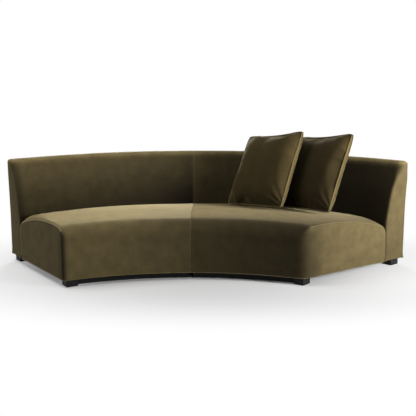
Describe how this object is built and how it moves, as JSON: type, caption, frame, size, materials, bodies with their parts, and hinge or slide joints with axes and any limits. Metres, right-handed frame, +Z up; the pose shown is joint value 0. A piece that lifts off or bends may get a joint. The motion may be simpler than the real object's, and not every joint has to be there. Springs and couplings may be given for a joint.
{
  "type": "curved sectional sofa",
  "caption": "Low curved sectional sofa in olive velvet: two sections meet at a seam, crowned seats, leaning back, black block feet and loose square pillows.",
  "frame": {"origin": "on the floor under the middle of the sofa's bounding box", "axes": "+X to the sitter-facing viewer's right along the sofa, +Y from the front edge to the rear of the back, +Z up; metres"},
  "size_m": [2.8345, 1.1811, 0.9352],
  "materials": {
    "upholstery": "olive cut velvet over wadding",
    "pillow_velvet": "olive cut velvet",
    "pillow_filling": "white fibre filling in a cotton bag",
    "foam": "cut upholstery foam",
    "webbing": "woven elastic webbing",
    "dust_cloth": "black non-woven cloth",
    "frame_timber": "sawn beech",
    "black_wood": "satin black lacquer",
    "steel": "zinc plated"
  },
  "bodies": {
    "left_section": {"left_seat_cover": "upholstery", "left_back_cover": "upholstery", "left_seat_foam": "foam", "left_back_foam": "foam", "left_front_rail": "frame_timber", "left_rear_rail": "frame_timber", "left_end_rail": "frame_timber", "left_seam_rail": "frame_timber", "left_cross_rails": "frame_timber", "left_corner_block": "frame_timber", "left_back_posts": "frame_timber", "left_top_rail": "frame_timber", "left_webbing": "webbing", "left_dust_cover": "dust_cloth", "left_front_foot": "black_wood", "left_rear_foot": "black_wood", "left_seam_foot": "black_wood", "left_foot_bolts": "steel", "left_toe_rail": "black_wood", "left_toe_rail_screws": "steel", "left_connectors": "steel", "left_connector_screws": "steel"},
    "right_section": {"right_seat_cover": "upholstery", "right_back_cover": "upholstery", "right_seat_foam": "foam", "right_back_foam": "foam", "right_front_rail": "frame_timber", "right_rear_rail": "frame_timber", "right_end_rail": "frame_timber", "right_seam_rail": "frame_timber", "right_cross_rails": "frame_timber", "right_corner_block": "frame_timber", "right_back_posts": "frame_timber", "right_top_rail": "frame_timber", "right_webbing": "webbing", "right_dust_cover": "dust_cloth", "right_front_foot": "black_wood", "right_rear_foot": "black_wood", "right_seam_foot": "black_wood", "right_foot_bolts": "steel", "right_toe_rail": "black_wood", "right_toe_rail_screws": "steel", "right_connectors": "steel", "right_connector_screws": "steel"},
    "left_pillow": {"left_pillow_cover": "pillow_velvet", "left_pillow_insert": "pillow_filling"},
    "right_pillow": {"right_pillow_cover": "pillow_velvet", "right_pillow_insert": "pillow_filling"}
  },
  "joints": [
    {"name": "section_parting", "type": "slide", "parent": "left_section", "child": "right_section", "axis": [1, 0, 0], "range_m": [0, 0.3]},
    {"name": "left_pillow_lift", "type": "slide", "parent": "right_section", "child": "left_pillow", "axis": [-0.5417, -0.4545, 0.7071], "range_m": [0, 0.4]},
    {"name": "right_pillow_lift", "type": "slide", "parent": "right_section", "child": "right_pillow", "axis": [0.4413, -0.6073, 0.6606], "range_m": [0, 0.4]}
  ]
}
